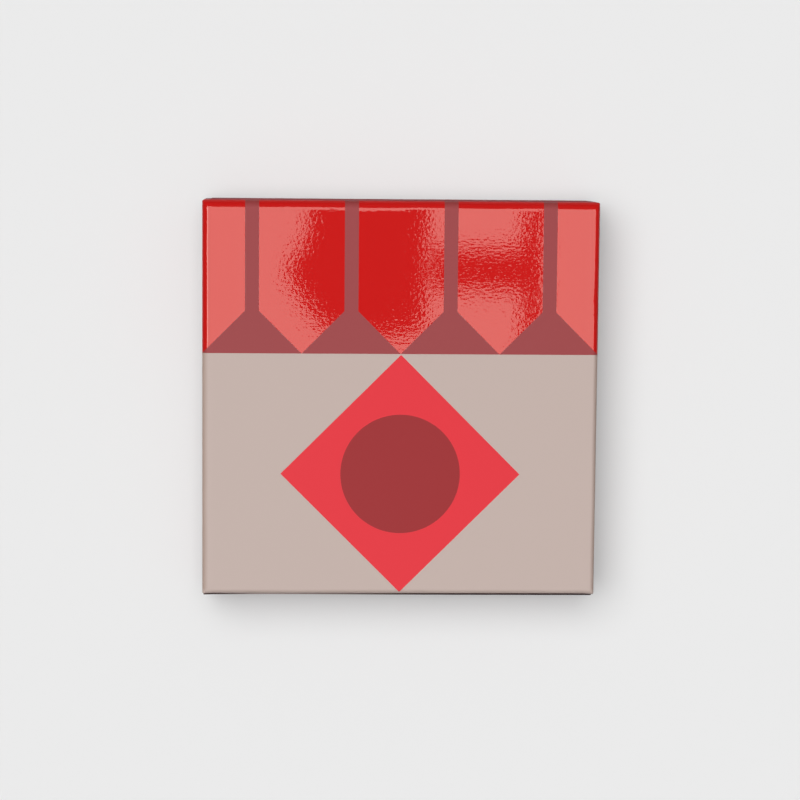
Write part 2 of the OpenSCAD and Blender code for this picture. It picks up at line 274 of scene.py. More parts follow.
def satin_paper(g, colour):
    """Colour and roughness of printed paper under a satin film; it adds the fibres' bump too."""
    fibre = g.noise(FIBRE, detail=3.0)
    g.bump(fibre, 0.006 * MM)
    tone = g.vary(colour, g.noise(4 * MM, detail=4.0), 0.05)
    return tone, g.math("MULTIPLY_ADD", fibre, 0.14, 0.38)


def satin_print_material(name, colour):
    """Printed paper under a satin film."""
    g = Graph(name)
    tone, roughness = satin_paper(g, colour)
    g.set("Base Color", tone)
    g.set("Roughness", roughness)
    return g.material


def flap_print_material():
    """Same paper on the flap, dull with painted shade in the crease along the top, pale where
    rubbed.
    """
    g = Graph("flap_print")
    x, _, z = g.xyz()
    start, width = FOLD_Z - 1.2 * MM, 0.8 * MM
    crease = g.math("MULTIPLY_ADD", z, 1 / width, -start / width, clamp=True)
    along = g.math("SUBTRACT", x, DENT_X)
    away = g.math("MAXIMUM", g.math("DIVIDE", along, DENT_RIGHT),
                  g.math("DIVIDE", along, -DENT_LEFT))
    rubbed = g.math("EXPONENT", g.math("MULTIPLY", g.math("MULTIPLY", away, away), -1.0))
    tone, roughness = satin_paper(g, MAROON)
    # the crease is painted dark as shade, and pale worn paper shows where rubbed
    g.set("Base Color", g.mix(crease, tone, g.mix(rubbed, shade(MAROON, 0.2), RUBBED)))
    g.set("Roughness", g.math("MULTIPLY_ADD", crease, 0.4, roughness))
    g.set("Specular IOR Level", g.math("MULTIPLY_ADD", crease, -0.4, 0.5))
    return g.material


def paper_material(name, colour):
    """Uncoated paper with fibres."""
    g = Graph(name)
    fibres = g.noise(0.35 * MM, stretch=(3, 1, 1), detail=4.0, roughness=0.7)
    g.set("Base Color", g.vary(colour, fibres, 0.08))
    g.set("Roughness", 0.85)
    g.bump(fibres, 0.03 * MM)
    return g.material


def greyboard_material():
    """Grey recycled board: flecks in its face."""
    g = Graph("greyboard")
    flecks = g.noise(0.6 * MM, detail=5.0, roughness=0.75)
    layers = g.noise(0.3 * MM, stretch=(20, 20, 1))
    g.set("Base Color", g.vary(GREYBOARD, g.math("MULTIPLY_ADD", layers, 0.4, flecks), 0.22))
    g.set("Roughness", 0.92)
    g.bump(flecks, 0.05 * MM)
    return g.material


def cloth_material():
    """Matt book cloth: a plain weave of fine threads, painted shade in the groove along the fold.
    """
    g = Graph("hinge_cloth")
    x, _, z = g.xyz()
    thread = 0.45 * MM
    warp = g.math("SINE", g.math("MULTIPLY", x, 2 * math.pi / thread))
    weft = g.math("SINE", g.math("MULTIPLY", z, 2 * math.pi / thread))
    weave = g.math("MULTIPLY_ADD", g.math("MULTIPLY", warp, weft), 0.5, 0.5)
    slubs = g.noise(0.8 * MM, stretch=(4, 1, 1), detail=3.0)
    yarn = g.math("MULTIPLY_ADD", weave, 0.5, g.math("MULTIPLY", slubs, 0.5))
    from_fold = g.math("ABSOLUTE", g.math("SUBTRACT", z, TRAY_H))
    pressed = g.inside(g.math("SUBTRACT", from_fold, 0.7 * MM), 1.2 * MM)
    # the groove along the fold gets painted shade
    g.set("Base Color", g.mix(pressed, g.vary(CLOTH, yarn, 0.30), shade(CLOTH, 0.45)))
    g.set("Roughness", 0.80)
    g.bump(weave, 0.05 * MM)
    return g.material


def foam_material():
    """Die-cut foam with fine closed cells."""
    g = Graph("insert_foam")
    node = g.nodes.new("ShaderNodeTexVoronoi")
    node.inputs["Scale"].default_value = 1 / (0.45 * MM)
    g.link(g.object_place(), node.inputs["Vector"])
    cells = node.outputs["Distance"]
    g.set("Base Color", g.vary(FOAM, cells, 0.35))
    g.set("Roughness", 0.88)
    g.bump(cells, 0.06 * MM)
    return g.material


def steel_material():
    """Zinc-coated steel with a faint turned grain."""
    g = Graph("catch_steel")
    grain = g.noise(0.3 * MM, stretch=(8, 1, 1), detail=3.0)
    g.set("Base Color", g.vary(STEEL, grain, 0.06))
    g.set("Metallic", 1.0)
    g.set("Roughness", g.math("MULTIPLY_ADD", grain, 0.15, 0.25))
    g.bump(grain, 0.004 * MM)
    return g.material


def moulded_material(name, colour):
    """Glossy moulded plastic with a faint flow texture."""
    g = Graph(name)
    flow = g.noise(3 * MM, detail=3.0)
    g.set("Base Color", g.vary(colour, flow, 0.05))
    g.set("Roughness", g.math("MULTIPLY_ADD", flow, 0.10, 0.16))
    g.set("IOR", 1.49)
    g.bump(g.noise(0.7 * MM), 0.006 * MM)
    return g.material


def die_material(name, node):
    """Ivory plastic, painted dark in the pips, which lie below the die's faces."""
    low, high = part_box(node)
    half = (high.z - low.z) / 2
    centre = (low + high) / 2
    cosine, sine = math.cos(DIE_TURNS[node]), math.sin(DIE_TURNS[node])
    g = Graph(name)
    dx, dy, w = (g.math("SUBTRACT", value, middle) for value, middle in zip(g.xyz(), centre))
    u = g.math("ADD", g.math("MULTIPLY", dx, cosine), g.math("MULTIPLY", dy, sine))
    v = g.math("SUBTRACT", g.math("MULTIPLY", dy, cosine), g.math("MULTIPLY", dx, sine))
    out_u, out_v, out_w = (g.math("ABSOLUTE", value) for value in (u, v, w))
    out = g.math("MAXIMUM", g.math("MAXIMUM", out_u, out_v), out_w)
    skin = 0.08 * MM                      # the pips are painted from this deep on
    soft = 0.04 * MM
    sunk = g.inside(g.math("SUBTRACT", out, half - skin), soft)
    within = g.inside(g.math("SUBTRACT", g.length(u, v, w), DIE_BALL * half), soft)
    flow = g.noise(3 * MM, detail=3.0)
    painted = g.math("MULTIPLY", sunk, within)
    g.set("Base Color", g.mix(painted, g.vary(IVORY, flow, 0.04), PIP))
    g.set("Roughness", g.math("MULTIPLY_ADD", flow, 0.10, 0.20))
    return g.material


LID_PRINT = lid_print_material()
WRAP = satin_print_material("maroon_wrap", MAROON)
FLAP_WRAP = flap_print_material()
CLOTH_MATERIAL = cloth_material()
LINING = paper_material("lining_paper", PAPER)
SHEET = paper_material("rules_paper", IVORY)
CARD = greyboard_material()
FOAM_MATERIAL = foam_material()
STEEL_MATERIAL = steel_material()
INKS = {
    "cream": satin_print_material("board_cream", BOARD_CREAM),
    "line": satin_print_material("board_line", BOARD_LINE),
    **{name: satin_print_material("board_" + name, colour) for name, colour in GAME.items()},
}
INK_INDEX = {name: index for index, name in enumerate(INKS)}
PAWN_MATERIALS = {name: moulded_material("pawn_" + name, rgb) for name, rgb in GAME.items()}


# ---------------------------------------------------------------- mesh helpers

WELD = 0.002 * MM                # points closer than this become one
HAIR = 0.02 * MM                 # how deep pieces that touch reach into each other


def to_object(bm, name, materials, sharp=35):
    """Makes a shown object of a bmesh, smooth but for edges sharper than that many degrees."""
    bmesh.ops.recalc_face_normals(bm, faces=bm.faces)
    mesh = bpy.data.meshes.new(name)
    bm.to_mesh(mesh)
    bm.free()
    for material in materials:
        mesh.materials.append(material)
    mesh.shade_smooth()
    mesh.set_sharp_from_angle(angle=math.radians(sharp))
    obj = bpy.data.objects.new(name, mesh)
    bpy.context.scene.collection.objects.link(obj)
    return obj


class Outline:
    """Stations round a rectangle with round corners.

    A station is a corner's signs and a direction from its centre, or two corners and a share
    of the way between them. Drawn in by more than the corners' radius, the corners are mitred.
    """

    def __init__(self, low, high, radius, spacing=4 * MM):
        self.low, self.high, self.radius = low, high, radius
        self.stations = []
        corner_steps = 6
        corners = [(-1, -1, 180), (1, -1, 270), (1, 1, 0), (-1, 1, 90)]
        names = ["front", "right", "back", "left"]
        for k, (sx, sy, start) in enumerate(corners):
            for i in range(corner_steps + 1):
                angle = math.radians(start + 90 * i / corner_steps)
                self.stations.append(("corner", (sx, sy), (math.cos(angle), math.sin(angle))))
            after = corners[(k + 1) % 4][:2]
            length = math.dist(self.corner(sx, sy, 0, 0), self.corner(*after, 0, 0))
            count = max(int(length / spacing), 1)
            for i in range(1, count):
                self.stations.append((names[k], ((sx, sy), after), i / count))

    def corner(self, sx, sy, inset_x, inset_y):
        """The corner's centre, or the mitre's place at insets of more than the radius."""
        x = self.high[0] - self.radius if sx > 0 else self.low[0] + self.radius
        y = self.high[1] - self.radius if sy > 0 else self.low[1] + self.radius
        return (x + min(self.radius - inset_x, 0) * sx, y + min(self.radius - inset_y, 0) * sy)

    def place(self, station, sides, front=None, back=None, right=None):
        """A station's place, drawn in by an inset; front, back and right may have their own."""
        insets_y = {-1: sides if front is None else front, 1: sides if back is None else back}
        insets_x = {-1: sides, 1: sides if right is None else right}
        kind, where, along = station
        if kind == "corner":
            inset_x, inset_y = insets_x[where[0]], insets_y[where[1]]
            x, y = self.corner(*where, inset_x, inset_y)
            return (x + max(self.radius - inset_x, 0) * along[0],
                    y + max(self.radius - inset_y, 0) * along[1])
        a, b = (self.corner(sx, sy, insets_x[sx], insets_y[sy]) for sx, sy in where)
        x = a[0] + (b[0] - a[0]) * along
        y = a[1] + (b[1] - a[1]) * along
        if kind == "front":
            y = self.low[1] + insets_y[-1]
        elif kind == "back":
            y = self.high[1] - insets_y[1]
        elif kind == "left":
            x = self.low[0] + insets_x[-1]
        else:
            x = self.high[0] - insets_x[1]
        return (x, y)


def skin_rings(bm, rings, skip=None):
    """Joins rings of as many points each with faces; skip(ring, station) leaves one out."""
    made = [[bm.verts.new(p) for p in ring] for ring in rings]
    count = len(made[0])
    for r in range(len(made) - 1):
        for i in range(count):
            if skip is not None and skip(r, i):
                continue
            j = (i + 1) % count
            bm.faces.new((made[r][i], made[r][j], made[r + 1][j], made[r + 1][i]))
    return made


def box_mesh(bm, low, high):
    """A closed box between two corners."""
    xs, ys, zs = zip(low, high)
    v = [bm.verts.new((x, y, z)) for z in zs for y in ys for x in xs]
    sides = [(0, 2, 3, 1), (4, 5, 7, 6), (0, 1, 5, 4), (2, 6, 7, 3), (0, 4, 6, 2), (1, 3, 7, 5)]
    for side in sides:
        bm.faces.new([v[i] for i in side])


def smooth(t):
    """An S-curve from 0 to 1."""
    t = min(max(t, 0.0), 1.0)
    return t * t * (3 - 2 * t)


def wander(x, seed, size):
    """Smooth noise from -1 to 1 along a line."""
    return noise.noise(Vector((x / size, seed, 0.3 * seed)))


# ---------------------------------------------------------------- the trays' wraps

WAVE_SEEDS = {"back": 3.7, "left": 2.2, "front": 1.3, "right": 1.3, "corner": 1.3}
WAVE_LENGTH = 26 * MM
LIFTED = 0.45 * MM               # how far the lid's wrap stands out at its front corners
LIFTED_RIGHT, LIFTED_LEFT = 6 * MM, 2.4 * MM


def wrap_object(name, face_z, lid, material):
    """A tray's outer paper: face, rounded edges, walls, rims and the turn-ins inside the walls.

    It is built in the base's pose, face down, and turned over for the lid.
    """
    outline = Outline((-CASE_X, FRONT_Y), (CASE_X, BACK_Y), CORNER_R)
    rim_z = BASE_HIGH.z
    inner = WRAP_T + BOARD_T + WRAP_T
    soft = 0.2 * MM                       # radius of the folds at the rim
    rings = []

    def corner_bulge(x):
        """The folded paper under the front corners lifts the wrap a little there."""
        right = smooth((x - CASE_X + LIFTED_RIGHT) / LIFTED_RIGHT)
        return right + smooth((-x - CASE_X + LIFTED_LEFT) / LIFTED_LEFT)

    def ring(z, sides, front=None, back=None, right=None, wave=0.0, bulge=0.0):
        points = []
        for station in outline.stations:
            px, py = outline.place(station, sides, front, back, right)
            side = station[0]
            along = px if side in ("front", "back") else py
            pz = z + wave * wander(along, WAVE_SEEDS[side], WAVE_LENGTH)
            if bulge and side in ("front", "corner") and py < 0:
                py -= bulge * corner_bulge(px)
            if side == "back":
                pz = min(pz, BACK_RIM_Z)
            points.append((px, py, pz))
        rings.append(points)

    if lid:
        ring(face_z, EDGE_R + 3 * MM)     # the face is flat inside this
    else:
        ring(face_z + WRAP_T, BOTTOM_TURN)
        ring(face_z, BOTTOM_TURN)
    lifted = LIFTED if lid else 0.0
    waves = 0.09 * MM if lid else 0.0     # height of the waves in the lid's rounded edges
    steps = 12
    for i in range(steps + 1):
        a = math.radians(90 * i / steps)
        inset = EDGE_R * (1 - math.sin(a))
        ring(face_z + EDGE_R * (1 - math.cos(a)), LEFT_ROUND * inset, FRONT_ROUND * inset,
             BACK_ROUND * inset, RIGHT_ROUND * inset, waves * math.sin(2 * a),
             lifted * math.sin(a))
    # down the walls the lifted corners run out
    wall_steps = 5
    for i in range(1, wall_steps + 1):
        ring(face_z + EDGE_R + (rim_z - soft - face_z - EDGE_R) * i / wall_steps, 0,
             bulge=lifted * max(1 - 1.2 * i / wall_steps, 0))
    for a in (30, 60, 90):
        a = math.radians(a)
        ring(rim_z - soft * (1 - math.sin(a)), soft * (1 - math.cos(a)))
    for a in (0, 30, 60, 90):
        a = math.radians(a)
        inset = inner - soft + soft * math.sin(a)
        ring(rim_z - soft * (1 - math.cos(a)), inset, inset, WRAP_T)
    first_turned = len(rings) - 1
    ring(rim_z - RIM_TURN, inner, inner, WRAP_T)
    ring(rim_z - RIM_TURN, inner - WRAP_T, inner - WRAP_T, WRAP_T)

    def hidden(r, i):
        """The back wall has no turn-in: the half board reaches up to it."""
        return r >= first_turned and outline.stations[i][0] == "back"

    if lid:
        rings = [[(x, y, 2 * TRAY_H - z) for x, y, z in points] for points in rings]
    bm = bmesh.new()
    made = skin_rings(bm, rings, hidden)
    if lid:
        bm.faces.new(made[0])
    bmesh.ops.remove_doubles(bm, verts=bm.verts, dist=WELD)
    bmesh.ops.dissolve_degenerate(bm, edges=bm.edges, dist=WELD)
    return to_object(bm, name, [material], sharp=40)


def make_wraps():
    lid = wrap_object("lid_printed_wrap", 0.0, True, LID_PRINT)
    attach(lid, "lid")
    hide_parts("lid_wrap")
    base = wrap_object("base_printed_wrap", BASE_LOW.z, False, WRAP)
    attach(base, "base")
    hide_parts("base_wrap")


# ---------------------------------------------------------------- hinge strip and flap

def make_spine_strip():
    """One strip of book cloth over both trays, pressed in a little along the fold."""
    half_x = STRIP_HIGH.x
    low_z = STRIP_LOW.z
    high_z = 2 * TRAY_H - low_z
    inner_y, outer_y = STRIP_LOW.y, STRIP_HIGH.y
    groove, groove_width = 0.28 * MM, 0.9 * MM
    waves, wave_length, wave_seed = 0.04 * MM, 18 * MM, 5.1
    thinned = 0.2 * MM                    # at the upper and lower edge
    spare = 0.05 * MM                     # keeps the waves inside the CAD piece
    columns, rows = 48, 64
    bm = bmesh.new()

    def point(i, j, outer):
        u, v = i / columns, j / rows
        x = -half_x + 2 * half_x * u
        z = low_z + (high_z - low_z) * v
        if not outer:
            return (x, inner_y - HAIR, z)
        edge = min(1.0, min(v, 1 - v) * rows / 2)
        pressed = groove * math.exp(-((z - TRAY_H) / groove_width) ** 2)
        lift = waves * wander(x, wave_seed, wave_length)
        return (x, outer_y - spare - pressed + lift - thinned * (1 - edge), z)

    grids = []
    for outer in (True, False):
        grid = [[bm.verts.new(point(i, j, outer)) for i in range(columns + 1)]
                for j in range(rows + 1)]
        for j in range(rows):
            for i in range(columns):
                bm.faces.new((grid[j][i], grid[j][i + 1], grid[j + 1][i + 1], grid[j + 1][i]))
        grids.append(grid)
    front, rear = grids
    for j in range(rows):
        for i in (0, columns):
            bm.faces.new((front[j][i], front[j + 1][i], rear[j + 1][i], rear[j][i]))
    for i in range(columns):
        for j in (0, rows):
            bm.faces.new((front[j][i], front[j][i + 1], rear[j][i + 1], rear[j][i]))
    strip = to_object(bm, "spine_strip", [CLOTH_MATERIAL])
    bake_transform(strip)
    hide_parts("spine_strip_base", "spine_strip_lid")


def flap_bow(x):
    """How far the flap's outer face lies in at x.

    A shallow dent left of the middle lies in most, and the ear at the left end not at all. All
    of it stays below the paper's thickness, so the board doesn't show.
    """
    half = FLAP_HIGH.x
    bow, dent = 0.16 * MM, 0.18 * MM
    ear_width, ear_fade = 1.4 * MM, 2.0 * MM
    ear = smooth((x + half - ear_width) / ear_fade)
    away = x - DENT_X
    dent *= math.exp(-(away / (DENT_LEFT if away < 0 else DENT_RIGHT)) ** 2)
    return ear * (bow * (1 - (x + half) / (2 * half)) + dent)


def slab_rings(low, high, radius, profile, bow=None):
    """Rings of a slab whose outline lies in X and Z.

    The profile gives each ring's inset, its y and its share of the bow.
    """
    outline = Outline(low, high, radius, spacing=2 * MM)
    rings = []
    for inset, y, share in profile:
        places = [outline.place(s, inset) for s in outline.stations]
        rings.append([(px, y + (share * bow(px) if bow else 0.0), pz) for px, pz in places])
    return outline, rings


def close_bowed(bm, outline, ring):
    """Closes a ring with upright strips, so that the face follows the bow."""
    kinds = [station[0] for station in outline.stations]
    corners = [station[1] for station in outline.stations]
    right = [i for i, kind in enumerate(kinds) if kind == "right"]
    left = [i for i, kind in enumerate(kinds) if kind == "left"]

    def round_corner(signs):
        return [i for i, kind in enumerate(kinds) if kind == "corner" and corners[i] == signs]

    lower = range(round_corner((1, -1))[-1] + 1)
    upper = range(round_corner((-1, 1))[-1], round_corner((1, 1))[0] - 1, -1)
    for k in range(len(lower) - 1):
        face = [lower[k], lower[k + 1], upper[k + 1], upper[k]]
        if k == 0:
            face = face + left
        if k == len(lower) - 2:
            face = [lower[k], lower[k + 1]] + right + [upper[k + 1], upper[k]]
        bm.faces.new([ring[i] for i in face])


def make_flap():
    """The flap's paper round its board, its lining and the fold that it hangs on."""
    outer_y, lining_y, inner_y = FLAP_LOW.y, FLAP_LINING_LOW.y, FLAP_LINING_HIGH.y
    low = (FLAP_LOW.x, FLAP_LOW.z)
    high = (FLAP_HIGH.x, FLAP_HIGH.z)
    outer_r, inner_r, corner_r = 0.35 * MM, 0.25 * MM, 0.5 * MM
    turned_y = inner_y - 0.08 * MM        # the turned-in paper lies under the lining's face
    turned_in, turned_t = 11 * MM, 0.15 * MM
    profile = []
    for i in range(5, -1, -1):
        a = math.radians(90 * i / 5)
        profile.append((outer_r * (1 - math.cos(a)), outer_y + outer_r * (1 - math.sin(a)), 1.0))
    for i in range(4):
        a = math.radians(90 * i / 3)
        profile.append((inner_r * (1 - math.cos(a)), turned_y - inner_r * (1 - math.sin(a)), 0.0))
    profile.append((turned_in, turned_y, 0.0))
    profile.append((turned_in, turned_y - turned_t, 0.0))
    outline, rings = slab_rings(low, high, corner_r, profile, flap_bow)
    bm = bmesh.new()
    made = skin_rings(bm, rings)
    close_bowed(bm, outline, made[0])
    bm.faces.new(made[-1])
    bmesh.ops.remove_doubles(bm, verts=bm.verts, dist=WELD)
    wrap = to_object(bm, "flap_printed_wrap", [FLAP_WRAP])
    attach(wrap, "flap")
    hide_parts("flap_wrap")

    margin, lining_r, soft = 2.5 * MM, 0.8 * MM, 0.03 * MM
    low = (low[0] + margin, low[1] + margin)
    high = (high[0] - margin, high[1] - margin)
    profile = [(0, lining_y + HAIR, 0), (0, inner_y - HAIR, 0), (soft, inner_y, 0)]
    rings = slab_rings(low, high, lining_r, profile)[1]
    bm = bmesh.new()
    made = skin_rings(bm, rings)
    bm.faces.new(made[0])
    bm.faces.new(made[-1])
    lining = to_object(bm, "flap_inner_lining", [LINING])
    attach(lining, "flap")
    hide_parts("flap_lining")

    make_fold()


def make_fold():
    """The paper that is glued to the lid's front and bends over onto the flap's top."""
    leaf_in, leaf_out = LEAF_HIGH.y, LEAF_LOW.y
    thick = 0.2 * MM
    rise, out = 1.2 * MM, 0.15 * MM       # the bend starts this high and ends this far out
    path = [(leaf_in, LEAF_HIGH.z), (leaf_in, FOLD_Z + rise)]
    for t in (0.25, 0.5, 0.75, 1.0):
        path.append((leaf_in + (FOLD_Y - leaf_in) * t - out * t,
                     FOLD_Z + rise * (1 - t) ** 2 + HAIR))
    path += [(FOLD_Y - 0.5 * MM, FOLD_Z), (FOLD_Y - 0.8 * MM, FOLD_Z - HAIR)]
    half_x = LEAF_HIGH.x
    columns = 60
    bm = bmesh.new()
    sections = []
    for i in range(columns + 1):
        x = -half_x + 2 * half_x * i / columns
        lower, upper = [], []
        for k, (y, z) in enumerate(path):
            before, after = path[max(k - 1, 0)], path[min(k + 1, len(path) - 1)]
            run = Vector((after[0] - before[0], after[1] - before[1])).normalized()
            lower.append(bm.verts.new((x, y, z)))
            upper.append(bm.verts.new((x, y + run.y * thick, z - run.x * thick)))
        sections.append(lower + upper[::-1])
    count = len(sections[0])
    for a, b in zip(sections, sections[1:]):
        for k in range(count):
            bm.faces.new((a[k], a[(k + 1) % count], b[(k + 1) % count], b[k]))
    bm.faces.new(sections[0])
    bm.faces.new(sections[-1])
    fold = to_object(bm, "flap_fold_paper", [WRAP])
    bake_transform(fold)
    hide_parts("flap_hinge_leaf")


# ---------------------------------------------------------------- the half boards

SQUARES = 15
HALF = SQUARES / 2
MIDDLE = SQUARES // 2                    # the middle row and column, counted from 0
LAST = SQUARES - 1
YARD = 6                                 # squares along a yard
BORDER = 2.2 * MM
CELL = (PRINT_HIGH.x - BORDER) * 2 / SQUARES
LINE = 0.03                              # half the printed lines' width, in squares
SPOT_IN = 2.1                            # the yards' spots from the yards' edges, in squares
SPOT_R = 0.62
CORNERS = {(0, 0): "red", (1, 0): "yellow", (1, 1): "green", (0, 1): "blue"}


def near_line(t):
    return abs(t - round(t)) < LINE


def board_ink(u, v):
    """The ink at a place on the ludo board, in squares from its front left corner."""
    if not (-LINE < u < SQUARES + LINE and -LINE < v < SQUARES + LINE):
        return "cream"
    in_column = YARD < u < SQUARES - YARD
    in_row = YARD < v < SQUARES - YARD
    if not in_column and not in_row and 0 < u < SQUARES and 0 < v < SQUARES:
        side = (int(u > HALF), int(v > HALF))
        own_u = u - side[0] * (SQUARES - YARD)
        own_v = v - side[1] * (SQUARES - YARD)
        edge = min(own_u, own_v, YARD - own_u, YARD - own_v)
        if edge < LINE:
            return "line"
        return "cream" if edge > 1 else CORNERS[side]
    if all(YARD + LINE < t < SQUARES - YARD - LINE for t in (u, v)):
        return None
    if near_line(u) or near_line(v):
        return "line"
    # each colour's way home, and the square that its pawns start on
    column, row = int(u), int(v)
    near, far = range(1, YARD), range(SQUARES - YARD, LAST)
    if (column == MIDDLE and row in near) or (column, row) == (MIDDLE - 1, 1):
        return "red"
    if (column == MIDDLE and row in far) or (column, row) == (MIDDLE + 1, LAST - 1):
        return "green"
    if (row == MIDDLE and column in near) or (column, row) == (1, MIDDLE + 1):
        return "blue"
    if (row == MIDDLE and column in far) or (column, row) == (LAST - 1, MIDDLE - 1):
        return "yellow"
    return "cream"


def board_stops(low, high):
    """Places of the printed lines' edges between two bounds."""
    stops = {low, high}
    for i in range(SQUARES + 1):
        for stop in (i - LINE, i + LINE):
            if low < stop < high:
                stops.add(stop)
    return sorted(stops)


def make_half_board(name, node, body, lid):
    """A printed half: rectangles of ink, the middle's triangles and the yards' spots."""
    low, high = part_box(node)
    top_z = low.z if lid else high.z
    under_z = high.z if lid else low.z
    border = BORDER / CELL
    span = (HALF, SQUARES + border) if lid else (-border, HALF)
    side = -1 if lid else 1
    u_stops = board_stops(-border, SQUARES + border)
    v_stops = board_stops(*span)
    # the halves end a little short of the hinge's axis
    fold_v = HALF - side * (HINGE_Y - high.y) / CELL
    v_stops = [fold_v if v == HALF else v for v in v_stops]

    def place(u, v):
        return ((u - HALF) * CELL, HINGE_Y - side * (HALF - v) * CELL, top_z)

    bm = bmesh.new()
    grid = [[bm.verts.new(place(u, v)) for u in u_stops] for v in v_stops]
    for j in range(len(v_stops) - 1):
        for i in range(len(u_stops) - 1):
            ink = board_ink((u_stops[i] + u_stops[i + 1]) / 2, (v_stops[j] + v_stops[j + 1]) / 2)
            if ink is None:
                continue
            face = bm.faces.new((grid[j][i], grid[j][i + 1], grid[j + 1][i + 1], grid[j + 1][i]))
            face.material_index = INK_INDEX[ink]
    # sides and underside
    rim = [grid[0][i] for i in range(len(u_stops))]
    rim += [grid[j][-1] for j in range(1, len(v_stops))]
    rim += [grid[-1][i] for i in range(len(u_stops) - 2, -1, -1)]
    rim += [grid[j][0] for j in range(len(v_stops) - 2, 0, -1)]
    under = [bm.verts.new((p.co.x, p.co.y, under_z)) for p in rim]
    for k in range(len(rim)):
        n = (k + 1) % len(rim)
        bm.faces.new((rim[k], rim[n], under[n], under[k]))
    bm.faces.new(under)
    middle_triangles(bm, place, fold_v, lid)
    yard_spots(bm, place, lid)
    board = to_object(bm, name, list(INKS.values()))
    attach(board, body)
    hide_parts(node)


def middle_triangles(bm, place, fold_v, lid):
    """The home triangles in the middle three by three squares, as far as the fold."""
    near, far = YARD + LINE, SQUARES - YARD - LINE
    edge = far if lid else near
    tip = (HALF, fold_v)
    pieces = [
        ("green" if lid else "red", [(near, edge), (far, edge), tip]),
        ("blue", [(near, edge), tip, (near, fold_v)]),
        ("yellow", [(far, edge), (far, fold_v), tip]),
    ]
    for ink, corners in pieces:
        face = bm.faces.new([bm.verts.new(place(u, v)) for u, v in corners])
        face.material_index = INK_INDEX[ink]
    bmesh.ops.remove_doubles(bm, verts=bm.verts, dist=0.5 * WELD)


def yard_spots(bm, place, lid):
    """Four round spots in each yard, a hair above the sheet."""
    rise = (-0.03 if lid else 0.03) * MM
    steps = 40
    row = 1 if lid else 0
    for column in (0, 1):
        ink = INK_INDEX[CORNERS[(column, row)]]
        corner_u, corner_v = column * (SQUARES - YARD), row * (SQUARES - YARD)
        for du in (SPOT_IN, YARD - SPOT_IN):
            for dv in (SPOT_IN, YARD - SPOT_IN):
                spot = []
                for k in range(steps):
                    a = 2 * math.pi * k / steps
                    spot.append(place(corner_u + du + SPOT_R * math.cos(a),
                                      corner_v + dv + SPOT_R * math.sin(a)))
                flat = [bm.verts.new(p) for p in spot]
                raised = [bm.verts.new((x, y, z + rise)) for x, y, z in spot]
                bm.faces.new(raised).material_index = ink
                for k in range(steps):
                    n = (k + 1) % steps
                    side = bm.faces.new((flat[k], flat[n], raised[n], raised[k]))
                    side.material_index = ink


# ---------------------------------------------------------------- pawns, dice and rules

def make_pawns():
    for colour, material in PAWN_MATERIALS.items():
        for index in range(1, 5):
            make_pawn(f"pawn_{colour}_{index}", colour, material)


def make_pawn(node, colour, material):
    """A turned pawn: a foot with a rounded rim, a waisted body and a ball."""
    low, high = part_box(node)
    centre = (low + high) / 2
    radius = (high.x - low.x) / 2
    height = high.z - low.z
    head, neck = 3.3 * MM, 1.7 * MM       # radii of the ball and of the body under it
    head_z = height - head
    body_z = 1.8 * MM                     # the body stands on the foot
    neck_z = head_z - 2.6 * MM
    profile = [(radius - 0.3 * MM, 0.0), (radius, 0.3 * MM), (radius, 1.3 * MM),
               (radius - 0.15 * MM, 1.65 * MM), (radius - 0.5 * MM, body_z)]
    waist = radius - 0.55 * MM
    waist_steps = 12
    for i in range(1, waist_steps + 1):
        t = i / waist_steps
        profile.append((neck + (waist - neck) * (1 - t) ** 1.35, body_z + (neck_z - body_z) * t))
    # the ball, from the neck up to its tip
    ball_steps = 14
    first = math.pi - math.asin(neck / head)
    for i in range(ball_steps):
        a = first - first * i / ball_steps
        profile.append((head * math.sin(a), head_z + head * math.cos(a)))
    steps = 40
    turns = [2 * math.pi * k / steps for k in range(steps)]
    bm = bmesh.new()
    made = skin_rings(bm, [[(centre.x + r * math.cos(a), centre.y + r * math.sin(a), low.z + z)
                            for a in turns] for r, z in profile])
    bm.faces.new(made[0])
    tip = bm.verts.new((centre.x, centre.y, low.z + height))
    for k in range(steps):
        bm.faces.new((made[-1][k], made[-1][(k + 1) % steps], tip))
    pawn = to_object(bm, "turned_" + node, [material], sharp=50)
    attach(pawn, "base")
    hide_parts(node)


def bevelled(node, width):
    """Rounds a CAD node's edges with a modifier."""
    modifier = NODES[node].modifiers.new("soft_edges", "BEVEL")
    modifier.width = width
    modifier.segments = 2
    modifier.limit_method = "ANGLE"
    modifier.angle_limit = math.radians(40)


def make_rules():
    """The folded rule sheet: leaves that fan a little at their open edge."""
    low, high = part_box("rules_sheet")
    leaves = 4
    leaf = (high.z - low.z) / leaves
    gap, fan = 0.03 * MM, 0.35 * MM
    bm = bmesh.new()
    for k in range(leaves):
        shrink = fan * k
        box_mesh(bm, (low.x + shrink, low.y + 0.5 * shrink, high.z - (k + 1) * leaf + gap),
                 (high.x - 0.3 * shrink, high.y - shrink, high.z - k * leaf))
    sheet = to_object(bm, "folded_rules", [SHEET])
    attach(sheet, "lid")
    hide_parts("rules_sheet")


